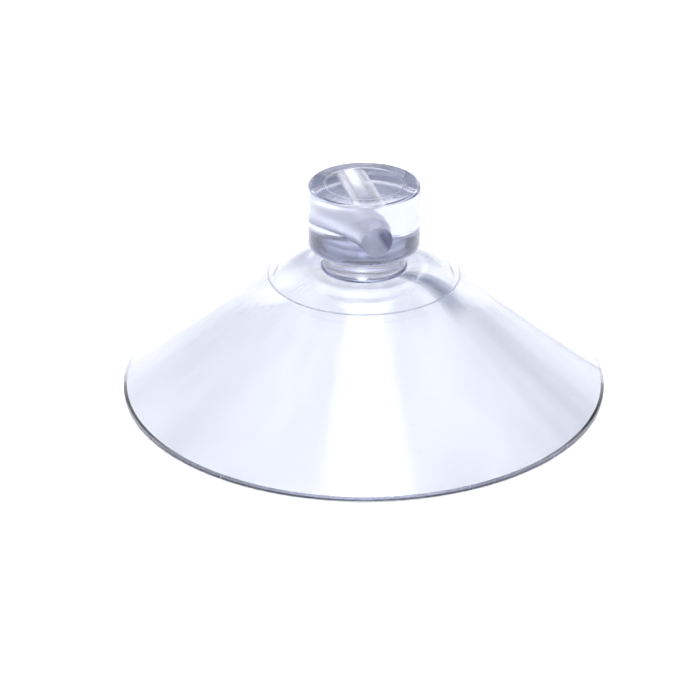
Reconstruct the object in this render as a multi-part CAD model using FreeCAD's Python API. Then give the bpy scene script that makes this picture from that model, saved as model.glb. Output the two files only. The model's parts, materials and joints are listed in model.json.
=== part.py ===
import FreeCAD
import Part
import math
import os

# A clear soft-PVC suction cup, pressed on by hand. Millimetres, +Z up through the button.
# The origin is the centre of the sealing edge, in the plane of the surface that the cup stands on.
# It is one moulding, divided where it changes job: at the lip's top, where the skirt meets the hub, at
# the foot of the neck and at the underside of the button. Each region is a solid turned about Z.

# Sealing edge
RIM_RADIUS = 32.0
LIP_HEIGHT = 0.6
LAND_WIDTH = 0.8

# Skirt: its outside sags inwards a little between the lip and the mould line
MOULD_LINE_RADIUS = 12.55
MOULD_LINE_HEIGHT = 15.7
SKIRT_SAG = 0.3
HUB_FOOT_HEIGHT = 12.0   # where the flexible skirt ends and the stiff hub starts

# Hub and neck: the hub's shoulder is a rounded dome from the mould line to the foot of the neck
NECK_FOOT_RADIUS = 5.85
NECK_FOOT_HEIGHT = 16.9
SHOULDER_RISE = 0.75     # how far the dome stands above a straight line between its two edges
NECK_RADIUS = 5.4
NECK_FILLET = NECK_FOOT_RADIUS - NECK_RADIUS

# Vacuum chamber: a cone up to a flat ceiling, with a wide rounding where they meet
CEILING_HEIGHT = 15.6
CORNER_RADIUS = 9.6      # the corner's place before it is rounded
CORNER_FILLET = 6.5

# Head button, with a hole across it
HEAD_RADIUS = 7.3
HEAD_BOTTOM = 19.8
HEAD_TOP = 28.3
HEAD_EDGE_FILLET = 0.45
CROSS_HOLE_RADIUS = 2.0
CROSS_HOLE_HEIGHT = HEAD_BOTTOM + 0.4 * (HEAD_TOP - HEAD_BOTTOM)
CROSS_HOLE_TURN = 13.4   # degrees from -Y towards +X that the hole's front end is turned

UP = FreeCAD.Vector(0, 0, 1)
ORIGIN = FreeCAD.Vector(0, 0, 0)


def at(radius, height):
    """A point of a section, which is drawn in the XZ plane."""
    return FreeCAD.Vector(radius, 0, height)


def line(start, end):
    return Part.LineSegment(start, end).toShape()


def arc(start, middle, end):
    return Part.Arc(start, middle, end).toShape()


def bow_circle():
    """Centre and radius of the circle that the skirt's outside follows, from the lip to the mould line."""
    foot = at(RIM_RADIUS, LIP_HEIGHT)
    top = at(MOULD_LINE_RADIUS, MOULD_LINE_HEIGHT)
    chord = top - foot
    radius = (chord.Length ** 2 / 4 + SKIRT_SAG ** 2) / (2 * SKIRT_SAG)
    outward = FreeCAD.Vector(chord.z, 0, -chord.x).normalize()
    centre = (foot + top) * 0.5 + outward * (radius - SKIRT_SAG)
    return centre, radius


def outside_at(height):
    """The point on the skirt's outside at a height."""
    centre, radius = bow_circle()
    return at(centre.x - math.sqrt(radius ** 2 - (height - centre.z) ** 2), height)


def outside_edge(low, high):
    """The skirt's outside between two heights."""
    return arc(outside_at(low), outside_at((low + high) / 2), outside_at(high))


def inside_at(height):
    """The point on the chamber's conical wall at a height."""
    foot_radius = RIM_RADIUS - LAND_WIDTH
    share = height / CEILING_HEIGHT
    return at(foot_radius + (CORNER_RADIUS - foot_radius) * share, height)


def turned(edges):
    """The solid that a closed section makes when it turns once about Z."""
    return Part.Face(Part.Wire(edges)).revolve(ORIGIN, UP, 360)


def make_sealing_lip():
    """The edge band that stands on the surface: a flat land below, a plain band outside."""
    land_inner = inside_at(0)
    land_outer = at(RIM_RADIUS, 0)
    top_outer = at(RIM_RADIUS, LIP_HEIGHT)
    top_inner = inside_at(LIP_HEIGHT)
    return turned([
        line(land_inner, land_outer),
        line(land_outer, top_outer),
        line(top_outer, top_inner),
        line(top_inner, land_inner),
    ])


def make_skirt():
    """The flexible conical wall between the lip and the hub, thicker towards the hub."""
    return turned([
        outside_edge(LIP_HEIGHT, HUB_FOOT_HEIGHT),
        line(outside_at(HUB_FOOT_HEIGHT), inside_at(HUB_FOOT_HEIGHT)),
        line(inside_at(HUB_FOOT_HEIGHT), inside_at(LIP_HEIGHT)),
        line(inside_at(LIP_HEIGHT), outside_at(LIP_HEIGHT)),
    ])


def rounded(before, corner, after, radius):
    """A corner's rounding: the points where its arc starts, is halfway and ends."""
    back = (before - corner).normalize()
    ahead = (after - corner).normalize()
    inwards = (back + ahead).normalize()
    half_angle = back.getAngle(ahead) / 2
    reach = radius / math.tan(half_angle)
    centre = corner + inwards * (radius / math.sin(half_angle))
    return corner + back * reach, centre - inwards * radius, corner + ahead * reach


def shoulder_middle(mould_line, neck_foot):
    """The point halfway along the shoulder's arc."""
    chord = neck_foot - mould_line
    outward = FreeCAD.Vector(chord.z, 0, -chord.x).normalize()
    return (mould_line + neck_foot) * 0.5 + outward * SHOULDER_RISE


def make_hub():
    """The stiff crown: mould line and rounded shoulder above, ceiling of the vacuum chamber below."""
    mould_line = at(MOULD_LINE_RADIUS, MOULD_LINE_HEIGHT)
    neck_foot = at(NECK_FOOT_RADIUS, NECK_FOOT_HEIGHT)
    wall_foot = inside_at(HUB_FOOT_HEIGHT)
    corner = at(CORNER_RADIUS, CEILING_HEIGHT)
    ceiling_middle = at(0, CEILING_HEIGHT)
    wall_end, corner_middle, ceiling_start = rounded(wall_foot, corner, ceiling_middle, CORNER_FILLET)
    return turned([
        outside_edge(HUB_FOOT_HEIGHT, MOULD_LINE_HEIGHT),
        arc(mould_line, shoulder_middle(mould_line, neck_foot), neck_foot),
        line(neck_foot, at(0, NECK_FOOT_HEIGHT)),
        line(at(0, NECK_FOOT_HEIGHT), ceiling_middle),
        line(ceiling_middle, ceiling_start),
        arc(ceiling_start, corner_middle, wall_end),
        line(wall_end, wall_foot),
        line(wall_foot, outside_at(HUB_FOOT_HEIGHT)),
    ])


def make_neck():
    """The waist between hub and button, with a small fillet round its foot."""
    foot = at(NECK_FOOT_RADIUS, NECK_FOOT_HEIGHT)
    fillet_top = at(NECK_RADIUS, NECK_FOOT_HEIGHT + NECK_FILLET)
    inset = NECK_FILLET * (1 - math.sqrt(0.5))
    return turned([
        arc(foot, at(NECK_RADIUS + inset, NECK_FOOT_HEIGHT + inset), fillet_top),
        line(fillet_top, at(NECK_RADIUS, HEAD_BOTTOM)),
        line(at(NECK_RADIUS, HEAD_BOTTOM), at(0, HEAD_BOTTOM)),
        line(at(0, HEAD_BOTTOM), at(0, NECK_FOOT_HEIGHT)),
        line(at(0, NECK_FOOT_HEIGHT), foot),
    ])


def make_head_button():
    """The round button, its two rims rounded, with the hole that a hook, pin or cord goes through."""
    blank = Part.makeCylinder(HEAD_RADIUS, HEAD_TOP - HEAD_BOTTOM, at(0, HEAD_BOTTOM))
    rims = [e for e in blank.Edges if e.Closed and abs(e.Length - 2 * math.pi * HEAD_RADIUS) < 1e-6]
    button = blank.makeFillet(HEAD_EDGE_FILLET, rims)
    turn = math.radians(CROSS_HOLE_TURN)
    towards_front = FreeCAD.Vector(math.sin(turn), -math.cos(turn), 0)
    reach = 2 * HEAD_RADIUS
    start = at(0, CROSS_HOLE_HEIGHT) - towards_front * reach
    hole = Part.makeCylinder(CROSS_HOLE_RADIUS, 2 * reach, start, towards_front)
    return button.cut(hole)


def main():
    parts = {
        "sealing_lip": make_sealing_lip(),
        "skirt": make_skirt(),
        "hub": make_hub(),
        "neck": make_neck(),
        "head_button": make_head_button(),
    }
    os.makedirs("parts", exist_ok=True)
    for name, shape in parts.items():
        shape.exportStep("parts/" + name + ".step")
        print(name, "volume", round(shape.Volume, 1), "mm3, valid", shape.isValid())


main()
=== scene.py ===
import json
import math

import bmesh
import bpy
from mathutils import Matrix, Vector


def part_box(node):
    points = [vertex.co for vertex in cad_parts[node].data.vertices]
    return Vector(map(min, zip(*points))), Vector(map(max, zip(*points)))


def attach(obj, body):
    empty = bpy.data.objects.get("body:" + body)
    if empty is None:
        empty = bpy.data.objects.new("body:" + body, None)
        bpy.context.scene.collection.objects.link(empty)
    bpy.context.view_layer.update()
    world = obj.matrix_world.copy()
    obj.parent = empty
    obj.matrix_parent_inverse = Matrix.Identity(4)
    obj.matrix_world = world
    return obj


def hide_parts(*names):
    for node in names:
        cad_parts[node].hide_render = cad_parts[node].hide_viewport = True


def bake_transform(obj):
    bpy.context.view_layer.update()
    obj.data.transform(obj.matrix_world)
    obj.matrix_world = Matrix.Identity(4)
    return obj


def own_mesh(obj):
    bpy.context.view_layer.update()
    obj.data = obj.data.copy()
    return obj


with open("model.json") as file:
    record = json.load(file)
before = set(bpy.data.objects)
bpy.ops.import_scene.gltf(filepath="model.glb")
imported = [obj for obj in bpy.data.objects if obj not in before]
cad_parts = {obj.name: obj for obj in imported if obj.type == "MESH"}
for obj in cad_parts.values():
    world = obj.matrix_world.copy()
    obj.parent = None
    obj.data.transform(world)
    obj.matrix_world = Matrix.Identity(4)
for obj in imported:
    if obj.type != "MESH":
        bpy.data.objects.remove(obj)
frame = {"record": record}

# A clear soft-PVC suction cup: one moulding in five pieces that meet at flat seams. Metres, +Z up.
MM = 0.001
UP = Vector((0, 0, 1))
ROUND = 256                               # steps round every turned piece
RING_KEY = 1e8                            # outline points that round to the same key share a ring
LONG_STEPS, SHORT_STEPS = 24, 8           # along a long wall or a short one
CEILING_STEPS, MARK_STEPS = 16, 6         # round the ceiling's rounding, and across a bead or groove
SURFACE, SEAM, EXTRA, MARK = 0, 1, 2, 3   # material slots of a turned piece

# ---------------------------------------------------------------- sizes
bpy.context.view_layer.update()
rim_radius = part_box("sealing_lip")[1].x
lip_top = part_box("sealing_lip")[1].z
hub_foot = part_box("skirt")[1].z
neck_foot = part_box("neck")[0].z
neck_foot_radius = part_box("neck")[1].x
head_bottom, head_top = (corner.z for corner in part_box("head_button"))
mounts = {m["name"]: m for m in frame["record"]["mounts"]}
hole_centre = Vector(mounts["cross_hole"]["pos_m"])
hole_axis = Vector(mounts["cross_hole"]["axis"]).normalized()
hole_radius = mounts["cross_hole"]["dims"]["r_mm"] * MM
shaded_normal = (UP - hole_axis.cross(UP)).normalized()   # towards the half of its wall that has painted shade

# The same as in the CAD: what its boxes and mounts don't give
land_width = 0.8 * MM
mould_line = Vector((12.55, 15.7)) * MM
skirt_sag = 0.3 * MM
shoulder_rise = 0.75 * MM
ceiling_corner = Vector((9.6, 15.6)) * MM
ceiling_fillet = 6.5 * MM
neck_radius = 5.4 * MM
head_radius = 7.3 * MM
head_fillet = 0.45 * MM

# Marks that the mould leaves: a bead along the mould line and a ring on the button's top
bead_reach, bead_height = 0.10 * MM, 0.06 * MM
bead_slope = 0.6         # how far the skirt's outside rises for each unit along it
ring_radius, ring_reach, ring_depth = 5.15 * MM, 0.11 * MM, 0.07 * MM


# ---------------------------------------------------------------- outlines: points (radius, height)
def arc_run(centre, radius, start, end, steps):
    """Points of an arc, by angles in degrees from the outward radius towards +Z."""
    angles = (math.radians(start + (end - start) * i / steps) for i in range(steps + 1))
    return [(centre[0] + radius * math.cos(t), centre[1] + radius * math.sin(t)) for t in angles]


def bow_run(start, end, rise, steps):
    """Points of an arc between two points, which stands up above the straight line between them."""
    start, end = Vector(start), Vector(end)
    chord = end - start
    outward = Vector((chord.y, -chord.x)).normalized()
    radius = (chord.length_squared / 4 + rise ** 2) / (2 * rise)
    centre = (start + end) / 2 - outward * (radius - rise)
    first, last = start - centre, end - centre
    turn = first.angle_signed(last)
    points = [centre + Matrix.Rotation(-turn * i / steps, 2) @ first for i in range(steps + 1)]
    return [tuple(start)] + [tuple(p) for p in points[1:-1]] + [tuple(end)]


def sag_circle():
    """Centre and radius of the circle that the skirt's outside follows."""
    foot = Vector((rim_radius, lip_top))
    chord = mould_line - foot
    radius = (chord.length_squared / 4 + skirt_sag ** 2) / (2 * skirt_sag)
    outward = Vector((chord.y, -chord.x)).normalized()
    return (foot + mould_line) / 2 + outward * (radius - skirt_sag), radius


def outside_at(height):
    """The point on the skirt's outside at a height."""
    centre, radius = sag_circle()
    return (centre.x - math.sqrt(radius ** 2 - (height - centre.y) ** 2), height)


def inside_at(height):
    """The point on the chamber's conical wall at a height."""
    foot = rim_radius - land_width
    return (foot + (ceiling_corner.x - foot) * height / ceiling_corner.y, height)


def run_of(point_at, low, high, steps):
    """Points of a wall between two heights, from a function that gives its point at a height."""
    return [point_at(low + (high - low) * i / steps) for i in range(steps + 1)]


def upright_run(radius, low, high, steps):
    return run_of(lambda height: (radius, height), low, high, steps)


def ceiling_run():
    """The chamber's ceiling from the axis to the wide rounding, and round it to the conical wall."""
    along = Vector(inside_at(0)) - ceiling_corner
    slope = math.atan2(-along.y, along.x)
    centre = (ceiling_corner.x - ceiling_fillet * math.tan(slope / 2), ceiling_corner.y - ceiling_fillet)
    rounding = arc_run(centre, ceiling_fillet, 90, 90 - math.degrees(slope), CEILING_STEPS)
    return [(0, ceiling_corner.y)] + rounding


# ---------------------------------------------------------------- meshes
def lathe(name, runs, seams=(), extras=(), marks=()):
    """
    Turns runs of outline points about Z. A run is smooth, and its two ends are sharp edges. Seams, extras
    and marks are the numbers of the runs that take those material slots.
    """
    slots = {number: SURFACE for number in range(len(runs))}
    for numbers, slot in ((seams, SEAM), (extras, EXTRA), (marks, MARK)):
        slots.update({number: slot for number in numbers})
    bm = bmesh.new()
    rings = {}

    def key(point):
        return (round(point[0] * RING_KEY), round(point[1] * RING_KEY))

    def ring(point):
        if key(point) not in rings:
            radius, height = point
            turns = [2 * math.pi * i / ROUND for i in range(ROUND)] if key(point)[0] else [0]
            places = [(radius * math.cos(t), radius * math.sin(t), height) for t in turns]
            rings[key(point)] = [bm.verts.new(p) for p in places]
        return rings[key(point)]

    def band(a, b, slot):
        for i in range(ROUND):
            j = (i + 1) % ROUND
            corners = [a[i % len(a)], a[j % len(a)], b[j % len(b)], b[i % len(b)]]
            face = bm.faces.new(list(dict.fromkeys(corners)))
            face.smooth = True
            face.material_index = slot

    for number, run in enumerate(runs):
        for start, end in zip(run, run[1:]):
            band(ring(start), ring(end), slots[number])
    for end in {key(run[side]) for run in runs for side in (0, -1)}:
        loop = rings[end]
        for i in range(len(loop) if len(loop) > 1 else 0):
            bm.edges.get((loop[i], loop[(i + 1) % ROUND])).smooth = False
    bmesh.ops.recalc_face_normals(bm, faces=bm.faces)
    mesh = bpy.data.meshes.new(name)
    bm.to_mesh(mesh)
    bm.free()
    obj = bpy.data.objects.new(name, mesh)
    bpy.context.scene.collection.objects.link(obj)
    return obj


def drill(obj, wall_material):
    """Cuts the cross hole. Its wall has a material of its own, and its edges are sharp."""
    reach = 3 * head_radius
    cutter = lathe("cutter", [
        [(0, -reach), (hole_radius, -reach)],
        [(hole_radius, -reach), (hole_radius, reach)],
        [(hole_radius, reach), (0, reach)],
    ])
    cutter.data.materials.append(wall_material)
    turn = hole_axis.to_track_quat("Z", "Y").to_matrix().to_4x4()
    cutter.matrix_world = Matrix.Translation(hole_centre) @ turn
    cut = obj.modifiers.new("hole", "BOOLEAN")
    cut.object = cutter
    cut.operation = "DIFFERENCE"
    cut.solver = "EXACT"
    cut.material_mode = "TRANSFER"
    bpy.context.view_layer.update()
    drilled = bpy.data.meshes.new_from_object(obj.evaluated_get(bpy.context.evaluated_depsgraph_get()))
    obj.modifiers.clear()
    obj.data = drilled
    bpy.data.objects.remove(cutter)
    bm = bmesh.new()
    bm.from_mesh(drilled)
    for edge in bm.edges:
        if len({face.material_index for face in edge.link_faces}) == 2:
            edge.smooth = False
    bm.to_mesh(drilled)
    bm.free()


# ---------------------------------------------------------------- materials
PVC_IOR = 1.53
AXIS_CLEARANCE = 0.5 * MM                      # nearer to the axis, the way outwards isn't defined
FLOW_SCALE, FINE_FLOW_SCALE = 2.6, 17.0        # of the flow marks, round the cup
OUTWARD_SCALE = 22.0                           # of the flow marks, along the way outwards, per metre
CLOUD_SCALE, GRAIN_SCALE = 70.0, 900.0         # per metre
SPECK_SCALE, SPECK_CORE, SPECK_EDGE = 210.0, 0.018, 0.035
BUMP_STRENGTH, BUMP_DEPTH = 0.25, 0.25 * MM
CLOUD_HEIGHT, FLOW_HEIGHT, GRAIN_HEIGHT = 0.6, 0.15, 0.02      # shares of the bump
FLOW_SHADE = 0.94                              # of the tint, in the darker flow marks
SPECK_SHADE = 0.5                              # how far a speck takes its own tint
CLOUD_LEAST, CLOUD_MOST = 0.75, 1.3            # of the roughness, in the patches of cloud
FLOW_DULLNESS, SPECK_DULLNESS = 0.6, 0.4       # more roughness: a share of it, and an amount

CONE_TINT = (0.950, 0.964, 1.0)
HEAD_TINT = (0.58, 0.605, 0.72)
# painted light: the button's top is made lighter than its sides
LIT_TOP_TINT = (0.90, 0.91, 0.95)
NECK_TINT = (0.80, 0.82, 0.90)
# colour of the bands of painted shade
SHADE_BAND_TINT = (0.25, 0.275, 0.37)
# painted shade for the lip's outer face, which looks dark
EDGE_SHADE_TINT = (0.13, 0.14, 0.22)
LINE_TINT = (0.30, 0.32, 0.42)
# painted shade under the button, on a matte, nearly opaque underside
UNDERSIDE_SHADE_TINT = (0.33, 0.36, 0.50)
RING_TINT = (0.97, 0.97, 1.0)
CORE_SHADE_TINT = (0.45, 0.47, 0.55)   # how much the seam under the button darkens what is seen through its core: its depth, and painted shade
SPECK_TINT = (0.35, 0.36, 0.42)
HOLE_TINT = (0.90, 0.91, 0.97)
HOLE_SHADED_TINT = (0.20, 0.21, 0.36)
SHADED_SIDE_STEP = (-0.4 * MM, 0.3 * MM)    # where the painted shade on the hole's wall starts, across the hole
SHADED_FRONT_STEP = (1.0 * MM, 3.0 * MM)    # and along it

# Bands of painted shade, for the button's shadow and other shade round the hub: degrees from -Y towards
# +X, half-width in degrees, darkness, and reach. Each is dark across its core, starts to fade at a share
# of its reach, and leaves a rest of its darkness beyond it.
SHADE_BAND_CORE, SHADE_BAND_FADE, SHADE_BAND_REST = 0.1, 0.75, 0.12
SHADE_BANDS = (
    (60, 9.5, 0.92, 15.5 * MM),
    (-24, 14, 0.14, 14 * MM),
    (30, 14, 0.16, 15 * MM),
    (-118, 45, 0.50, 11 * MM),
    (118, 40, 0.40, 11 * MM),
)


class Nodes:
    """Short ways to add shader nodes to one node tree."""

    def __init__(self, tree):
        self.tree = tree

    def add(self, kind, inputs=(), output=0, **settings):
        node = self.tree.nodes.new(kind)
        for name, value in settings.items():
            setattr(node, name, value)
        for socket, value in dict(inputs).items():
            if isinstance(value, bpy.types.NodeSocket):
                self.tree.links.new(value, node.inputs[socket])
            else:
                node.inputs[socket].default_value = value
        return node.outputs[output]

    def split(self, vector):
        """The x, y and z of a vector."""
        node = self.tree.nodes.new("ShaderNodeSeparateXYZ")
        self.tree.links.new(vector, node.inputs[0])
        return node.outputs

    def dot(self, vector, along):
        inputs = {0: vector, 1: along}
        return self.add("ShaderNodeVectorMath", inputs, output="Value", operation="DOT_PRODUCT")

    def math(self, operation, *values):
        return self.add("ShaderNodeMath", dict(enumerate(values)), operation=operation)

    def dim(self, value, share):
        """A value less a share of itself."""
        return self.math("MULTIPLY", value, self.math("SUBTRACT", 1.0, share))

    def cross(self, share, value, other):
        """Goes from the other value to the value as the share goes from 0 to 1."""
        rest = self.math("SUBTRACT", 1.0, share)
        return self.math("ADD", self.math("MULTIPLY", share, value), self.math("MULTIPLY", rest, other))

    def ramp(self, value, low, high, to_low=0.0, to_high=1.0):
        """A smooth step of a value, from to_low at low to to_high at high."""
        inputs = {0: value, 1: low, 2: high, 3: to_low, 4: to_high}
        return self.add("ShaderNodeMapRange", inputs, interpolation_type="SMOOTHSTEP")

    def noise(self, place, scale, detail):
        inputs = {"Vector": place, "Scale": scale, "Detail": detail}
        return self.add("ShaderNodeTexNoise", inputs, output="Fac")

    def mix(self, share, first, second):
        """A mix of two colours, which are inputs 6 and 7 of a Mix node. Output 2 is its colour."""
        inputs = {"Factor": share, 6: first, 7: second}
        return self.add("ShaderNodeMix", inputs, output=2, data_type="RGBA")


def with_shade_bands(n, colour, out_x, out_y, radius, shade_bands):
    """A colour with the bands of painted shade over it. Out is the direction outwards from the axis."""
    for turn, half_width, darkness, reach in shade_bands:
        middle = (math.sin(math.radians(turn)), -math.cos(math.radians(turn)))
        towards = n.math("ADD", n.math("MULTIPLY", out_x, middle[0]), n.math("MULTIPLY", out_y, middle[1]))
        edge = math.cos(math.radians(half_width))
        across = n.ramp(towards, edge, 1 - (1 - edge) * SHADE_BAND_CORE)
        fade = n.ramp(radius, SHADE_BAND_FADE * reach, reach, darkness, darkness * SHADE_BAND_REST)
        colour = n.mix(n.math("MULTIPLY", across, fade), colour, (*SHADE_BAND_TINT, 1))
    return colour


def shaded_hole(n, place, tint, shaded_tint):
    """The colour of the cross hole's wall, with painted shade on one side near its front end."""
    past = n.math("SUBTRACT", n.dot(place, shaded_normal), shaded_normal.dot(hole_centre))
    towards_front = n.dot(place, hole_axis)
    on_side = n.ramp(past, *SHADED_SIDE_STEP)
    shaded = n.math("MULTIPLY", on_side, n.ramp(towards_front, *SHADED_FRONT_STEP))
    return n.mix(shaded, (*tint, 1), (*shaded_tint, 1))


def clear_pvc(name, tint, roughness, shade_bands=(), lit_top_tint=None, shaded_tint=None, clearness=1.0):
    """
    Clear soft PVC: slightly uneven gloss, faint flow marks that run outwards, and a few specks. The bands
    are painted shade, the tint for the button's top is painted light that makes it lighter, and
    shaded_tint is painted shade on half of the cross hole's wall. Clearness is how much of the surface is
    clear rather than dull.
    """
    mat = bpy.data.materials.new(name)
    mat.use_nodes = True
    n = Nodes(mat.node_tree)
    place = n.add("ShaderNodeTexCoord", output="Object")
    x, y, z = n.split(place)
    radius = n.math("SQRT", n.math("ADD", n.math("MULTIPLY", x, x), n.math("MULTIPLY", y, y)))
    safe = n.math("MAXIMUM", radius, AXIS_CLEARANCE)
    out_x, out_y = n.math("DIVIDE", x, safe), n.math("DIVIDE", y, safe)

    # flow marks: a pattern that changes round the cup and hardly along the way outwards
    around = n.add("ShaderNodeCombineXYZ", {
        0: out_x,
        1: out_y,
        2: n.math("MULTIPLY", radius, OUTWARD_SCALE),
    })
    flow = n.noise(around, FLOW_SCALE, 4.0)
    fine_flow = n.noise(around, FINE_FLOW_SCALE, 3.0)
    cloud = n.noise(place, CLOUD_SCALE, 3.0)
    specks = n.add("ShaderNodeTexVoronoi", {"Vector": place, "Scale": SPECK_SCALE}, output="Distance")
    speck = n.ramp(specks, SPECK_CORE, SPECK_EDGE, 1.0, 0.0)

    shade = tuple(c * FLOW_SHADE for c in tint)
    colour = n.mix(n.ramp(flow, 0.35, 0.68), (*tint, 1), (*shade, 1))
    # painted shade in bands round the cup, for the button's shadow and other shade
    colour = with_shade_bands(n, colour, out_x, out_y, radius, shade_bands)
    # painted light on the button's top
    if lit_top_tint:
        colour = n.mix(n.ramp(z, head_top - head_fillet, head_top), colour, (*lit_top_tint, 1))
    if shaded_tint:
        colour = shaded_hole(n, place, tint, shaded_tint)
    colour = n.mix(n.math("MULTIPLY", speck, SPECK_SHADE), colour, (*SPECK_TINT, 1))

    # gloss: cloudy, duller along the fine flow marks and in the specks
    gloss = n.ramp(cloud, 0.3, 0.7, roughness * CLOUD_LEAST, roughness * CLOUD_MOST)
    dullness = n.math("MULTIPLY", n.ramp(fine_flow, 0.45, 0.75), roughness * FLOW_DULLNESS)
    gloss = n.math("ADD", gloss, dullness)
    gloss = n.math("ADD", gloss, n.math("MULTIPLY", speck, SPECK_DULLNESS))

    # surface: shallow waves, with the fine flow marks and a grain on them
    grain = n.noise(place, GRAIN_SCALE, 2.0)
    height = n.math("MULTIPLY", cloud, CLOUD_HEIGHT)
    height = n.math("ADD", height, n.math("MULTIPLY", fine_flow, FLOW_HEIGHT))
    height = n.math("ADD", height, n.math("MULTIPLY", grain, GRAIN_HEIGHT))
    bump = n.add("ShaderNodeBump", {"Height": height, "Strength": BUMP_STRENGTH, "Distance": BUMP_DEPTH})

    bsdf = mat.node_tree.nodes["Principled BSDF"]
    bsdf.inputs["Transmission Weight"].default_value = clearness
    bsdf.inputs["IOR"].default_value = PVC_IOR
    for socket, value in (("Base Color", colour), ("Roughness", gloss), ("Normal", bump)):
        mat.node_tree.links.new(value, bsdf.inputs[socket])
    return mat


def seam(name, tint=(1, 1, 1)):
    """
    For the faces where two pieces of the one moulding meet: nothing is seen there but a tint. Both
    pieces carry the tint, because light meets only one of two faces in the same place.
    """
    mat = bpy.data.materials.new(name)
    mat.use_nodes = True
    mat.node_tree.nodes.clear()
    n = Nodes(mat.node_tree)
    out = mat.node_tree.nodes.new("ShaderNodeOutputMaterial")
    clear = n.add("ShaderNodeBsdfTransparent", {"Color": (*tint, 1)})
    mat.node_tree.links.new(clear, out.inputs["Surface"])
    return mat


# the thin walls carry the bands of painted shade
thin_pvc = clear_pvc("clear_pvc_thin", CONE_TINT, 0.07, SHADE_BANDS)
# painted shade: the lip's outer face is made dark
shaded_edge_pvc = clear_pvc("clear_pvc_lip_edge_painted_shade", EDGE_SHADE_TINT, 0.20)
line_pvc = clear_pvc("clear_pvc_mould_line", LINE_TINT, 0.30)
neck_pvc = clear_pvc("clear_pvc_neck", NECK_TINT, 0.10)
head_pvc = clear_pvc("clear_pvc_head", HEAD_TINT, 0.06, lit_top_tint=LIT_TOP_TINT)
# the underside is matte and nearly opaque; its dark colour is painted shade under the button
shaded_under_pvc = clear_pvc("clear_pvc_underside_painted_shade", UNDERSIDE_SHADE_TINT, 0.35, clearness=0.15)
ring_pvc = clear_pvc("clear_pvc_ring", RING_TINT, 0.5)
hole_pvc = clear_pvc("clear_pvc_hole_wall", HOLE_TINT, 0.42, shaded_tint=HOLE_SHADED_TINT, clearness=0.8)
seam_mat = seam("seam_inside_moulding")
# the seam under the button darkens what passes through it: the button's depth, and painted shade
core_shade_mat = seam("seam_under_button_painted_shade", CORE_SHADE_TINT)


# ---------------------------------------------------------------- pieces
def make_lip():
    """The edge band. Its outer face has a material of its own, made dark with painted shade."""
    return lathe("lip_edge", [
        [inside_at(0), (rim_radius, 0)],
        [(rim_radius, 0), (rim_radius, lip_top)],
        [(rim_radius, lip_top), inside_at(lip_top)],
        [inside_at(lip_top), inside_at(0)],
    ], seams=(2,), extras=(1,))


def make_skirt():
    """The flexible wall, with enough rings to squash smoothly."""
    return lathe("skirt_wall", [
        run_of(outside_at, lip_top, hub_foot, LONG_STEPS),
        [outside_at(hub_foot), inside_at(hub_foot)],
        run_of(inside_at, hub_foot, lip_top, LONG_STEPS),
        [inside_at(lip_top), outside_at(lip_top)],
    ], seams=(1, 3))


def make_hub():
    """The hub's dome and the chamber's ceiling. The bead on the mould line is a low arc across it."""
    foot = (neck_foot_radius, neck_foot)
    dome = bow_run(mould_line, foot, shoulder_rise, LONG_STEPS)
    ceiling = ceiling_run()
    below = Vector(outside_at(mould_line.y - bead_reach * bead_slope))
    above = mould_line + (Vector(dome[1]) - mould_line).normalized() * bead_reach
    return lathe("hub_crown", [
        run_of(outside_at, hub_foot, below.y, SHORT_STEPS),
        bow_run(below, above, bead_height, MARK_STEPS),
        [tuple(above)] + dome[1:],
        [foot, (0, neck_foot)],
        ceiling,
        [ceiling[-1], inside_at(hub_foot)],
        [inside_at(hub_foot), outside_at(hub_foot)],
    ], seams=(3, 6), extras=(1,))


def make_neck():
    """The waist, with rings all the way up so that it bends smoothly."""
    fillet = neck_foot_radius - neck_radius
    curve = arc_run((neck_foot_radius, neck_foot + fillet), fillet, 270, 180, SHORT_STEPS)
    wall = upright_run(neck_radius, curve[-1][1], head_bottom, SHORT_STEPS)
    return lathe("neck_waist", [
        curve + wall[1:],
        [(neck_radius, head_bottom), (0, head_bottom)],
        [(0, neck_foot), (neck_foot_radius, neck_foot)],
    ], seams=(2,), extras=(1,))


def make_head():
    """The button, with a shallow ring pressed in its top and the hole across it."""
    edge_radius = head_radius - head_fillet
    wall_foot, wall_top = head_bottom + head_fillet, head_top - head_fillet
    low_edge = arc_run((edge_radius, wall_foot), head_fillet, -90, 0, SHORT_STEPS)
    high_edge = arc_run((edge_radius, wall_top), head_fillet, 0, 90, SHORT_STEPS)
    wall = upright_run(head_radius, wall_foot, wall_top, LONG_STEPS)[1:-1]
    inner, outer = (ring_radius - ring_reach, head_top), (ring_radius + ring_reach, head_top)
    groove = bow_run(inner, outer, ring_depth, MARK_STEPS)[::-1]
    head = lathe("button_head", [
        [(0, head_bottom), (neck_radius, head_bottom)],
        [(neck_radius, head_bottom), low_edge[0]],
        low_edge + wall + high_edge + [groove[0]],
        groove,
        [groove[-1], (0, head_top)],
    ], seams=(0,), extras=(1,), marks=(3,))
    for material in (head_pvc, core_shade_mat, shaded_under_pvc, ring_pvc, hole_pvc):
        head.data.materials.append(material)
    drill(head, hole_pvc)
    return head


def dress(piece, surface, node, extra=None):
    """Gives a piece its materials, with the extra one for its extra slot: painted shade on the lip and the
    neck, the mould line on the hub. Hides the CAD node that it stands for.
    """
    for material in (surface, seam_mat) + ((extra,) if extra else ()):
        piece.data.materials.append(material)
    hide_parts(node)


lip, skirt, hub, neck, head = make_lip(), make_skirt(), make_hub(), make_neck(), make_head()
dress(lip, thin_pvc, "sealing_lip", shaded_edge_pvc)
dress(skirt, thin_pvc, "skirt")
dress(hub, thin_pvc, "hub", line_pvc)
dress(neck, neck_pvc, "neck", core_shade_mat)
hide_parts("head_button")
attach(lip, "rim")
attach(skirt, "rim")
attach(hub, "crown")
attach(head, "button")
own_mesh(skirt)
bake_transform(neck)

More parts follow.
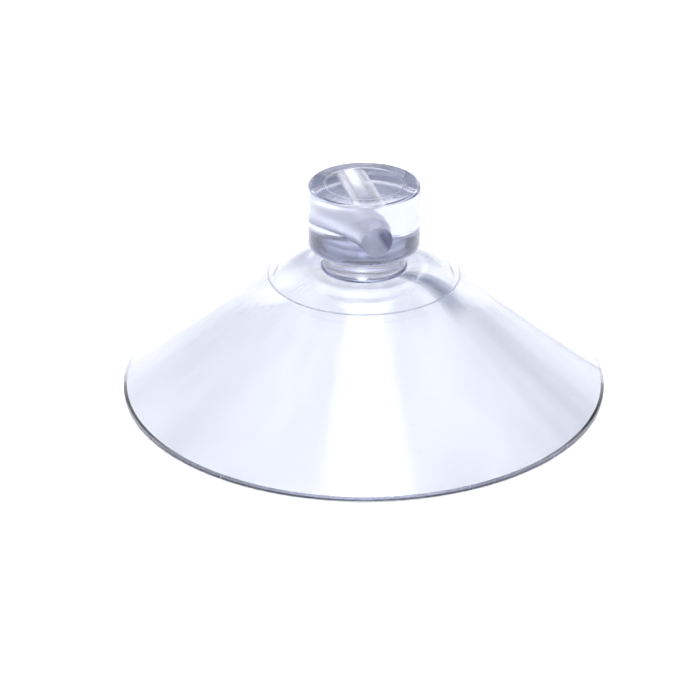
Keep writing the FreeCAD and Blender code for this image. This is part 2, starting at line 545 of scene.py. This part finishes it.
# ---------------------------------------------------------------- floor
floor_half = 3.0
floor_gap = 0.2 * MM     # keeps the floor's face apart from the lip's land
floor_grey = 0.96
corners = [(x * floor_half, y * floor_half) for x, y in ((-1, -1), (1, -1), (1, 1), (-1, 1))]
floor_mesh = bpy.data.meshes.new("floor")
floor_mesh.from_pydata([(x, y, 0) for x, y in corners], [], [(0, 1, 2, 3)])
floor = bpy.data.objects.new("floor", floor_mesh)
bpy.context.scene.collection.objects.link(floor)
floor.location.z = -floor_gap
floor_mat = bpy.data.materials.new("floor")
floor_mat.use_nodes = True
floor_bsdf = floor_mat.node_tree.nodes["Principled BSDF"]
floor_bsdf.inputs["Base Color"].default_value = (floor_grey, floor_grey, floor_grey, 1)
floor_bsdf.inputs["Roughness"].default_value = 1
floor_bsdf.inputs["Specular IOR Level"].default_value = 0
floor_mesh.materials.append(floor_mat)


# ---------------------------------------------------------------- light: a white tent round the cup
def height_of(elevation):
    """The Z of a direction, by its elevation in degrees."""
    return math.sin(math.radians(elevation))


def tent_walls(n, x, y, z):
    """A bright horizon, a wall that is dimmer on the near side and straight behind, and a bright top."""
    horizon, wall, near_wall, back_wall, top = 1.3, 0.85, 0.75, 0.50, 1.9
    near = n.ramp(y, -0.5, 0.1, 1.0, 0.0)
    straight = n.ramp(n.math("ABSOLUTE", x), 0.20, 0.50, 1.0, 0.0)
    back = n.math("MULTIPLY", n.ramp(y, 0.3, 0.6), straight)
    level = n.math("SUBTRACT", wall, n.math("MULTIPLY", near, wall - near_wall))
    level = n.math("SUBTRACT", level, n.math("MULTIPLY", back, wall - back_wall))
    low = n.ramp(z, height_of(6), height_of(16), 1.0, 0.0)
    high = n.ramp(z, height_of(38), height_of(56))
    return n.cross(high, top, n.cross(low, horizon, level))


def dark_edge(n, direction, x):
    """How dark the slanted edge is. It lies in a plane through the cup, and widens to the right."""
    plane_normal = (-0.148, 0.620, -0.771)
    least_width, middle_width, widening = 0.01, 0.03, 0.20
    width = n.math("ADD", n.math("MULTIPLY", x, widening), middle_width)
    off = n.math("ABSOLUTE", n.dot(direction, plane_normal))
    off = n.math("DIVIDE", off, n.math("MAXIMUM", width, least_width))
    return n.math("MULTIPLY", n.ramp(off, 0.35, 1.1, 1.0, 0.0), n.ramp(x, 0.03, 0.12))


def dark_line(n, x, z):
    """How dark the thin line just above the horizon is."""
    line_height, darkness = 0.035, 0.8
    off = n.math("ABSOLUTE", n.math("SUBTRACT", z, line_height))
    return n.math("MULTIPLY", n.ramp(off, 0.006, 0.020, darkness, 0.0), n.ramp(x, 0.15, 0.30))


def strip_lamp(n, direction, x, y, z):
    """The lamp's light: wider overhead than at its ends, with uneven soft edges, and longer behind."""
    brightness, middle_x, unevenness = 5.0, 0.03, 0.9
    half_width = n.ramp(z, 0.70, 0.97, 0.05, 0.17)
    off = n.math("DIVIDE", n.math("ABSOLUTE", n.math("SUBTRACT", x, middle_x)), half_width)
    off = n.math("ADD", off, n.math("MULTIPLY", n.noise(direction, 7.0, 2.0), unevenness))
    off = n.math("SUBTRACT", off, unevenness / 2)
    end = n.ramp(y, -0.3, 0.3, height_of(43), height_of(27))
    above_end = n.ramp(n.math("SUBTRACT", z, end), -0.04, 0.04)
    lit = n.math("MULTIPLY", n.ramp(off, 0.35, 1.65, 1.0, 0.0), above_end)
    return n.math("MULTIPLY", lit, brightness)


def light_tent():
    """
    The tent's walls, two dark marks behind on the right that the plastic shows as lines, and a strip lamp
    overhead from front to back. Directions are unit vectors, so x, y and z go from -1 to 1.
    """
    strength, cool_white = 0.92, (0.972, 0.981, 1.035)
    world = bpy.data.worlds.new("studio")
    bpy.context.scene.world = world
    world.use_nodes = True
    tree = world.node_tree
    n = Nodes(tree)
    direction = n.add("ShaderNodeTexCoord", output="Generated")
    x, y, z = n.split(direction)
    behind = n.ramp(y, 0.2, 0.4)
    level = tent_walls(n, x, y, z)
    level = n.dim(level, n.math("MULTIPLY", dark_edge(n, direction, x), behind))
    level = n.dim(level, n.math("MULTIPLY", dark_line(n, x, z), behind))
    level = n.math("ADD", level, strip_lamp(n, direction, x, y, z))
    channels = [n.math("MULTIPLY", level, share) for share in cool_white]
    colour = n.add("ShaderNodeCombineColor", dict(enumerate(channels)))
    tree.links.new(colour, tree.nodes["Background"].inputs["Color"])
    tree.nodes["Background"].inputs["Strength"].default_value = strength


light_tent()

# ---------------------------------------------------------------- camera
camera_elevation = math.radians(27.366)
camera_distance = 9.82 * rim_radius
camera_lens = 121.47
aim = Vector((-0.057, 0, 0.132)) * rim_radius
towards_camera = Vector((0, -math.cos(camera_elevation), math.sin(camera_elevation)))
cam_data = bpy.data.cameras.new("camera")
cam_data.lens = camera_lens
cam = bpy.data.objects.new("camera", cam_data)
bpy.context.scene.collection.objects.link(cam)
cam.location = aim + towards_camera * camera_distance
cam.rotation_mode = "QUATERNION"
cam.rotation_quaternion = (-towards_camera).to_track_quat("-Z", "Y")
bpy.context.scene.camera = cam
scene = bpy.context.scene
scene.view_settings.view_transform = "Standard"
scene.cycles.max_bounces = 24
scene.cycles.transmission_bounces = 24
scene.cycles.glossy_bounces = 12
scene.cycles.transparent_max_bounces = 32
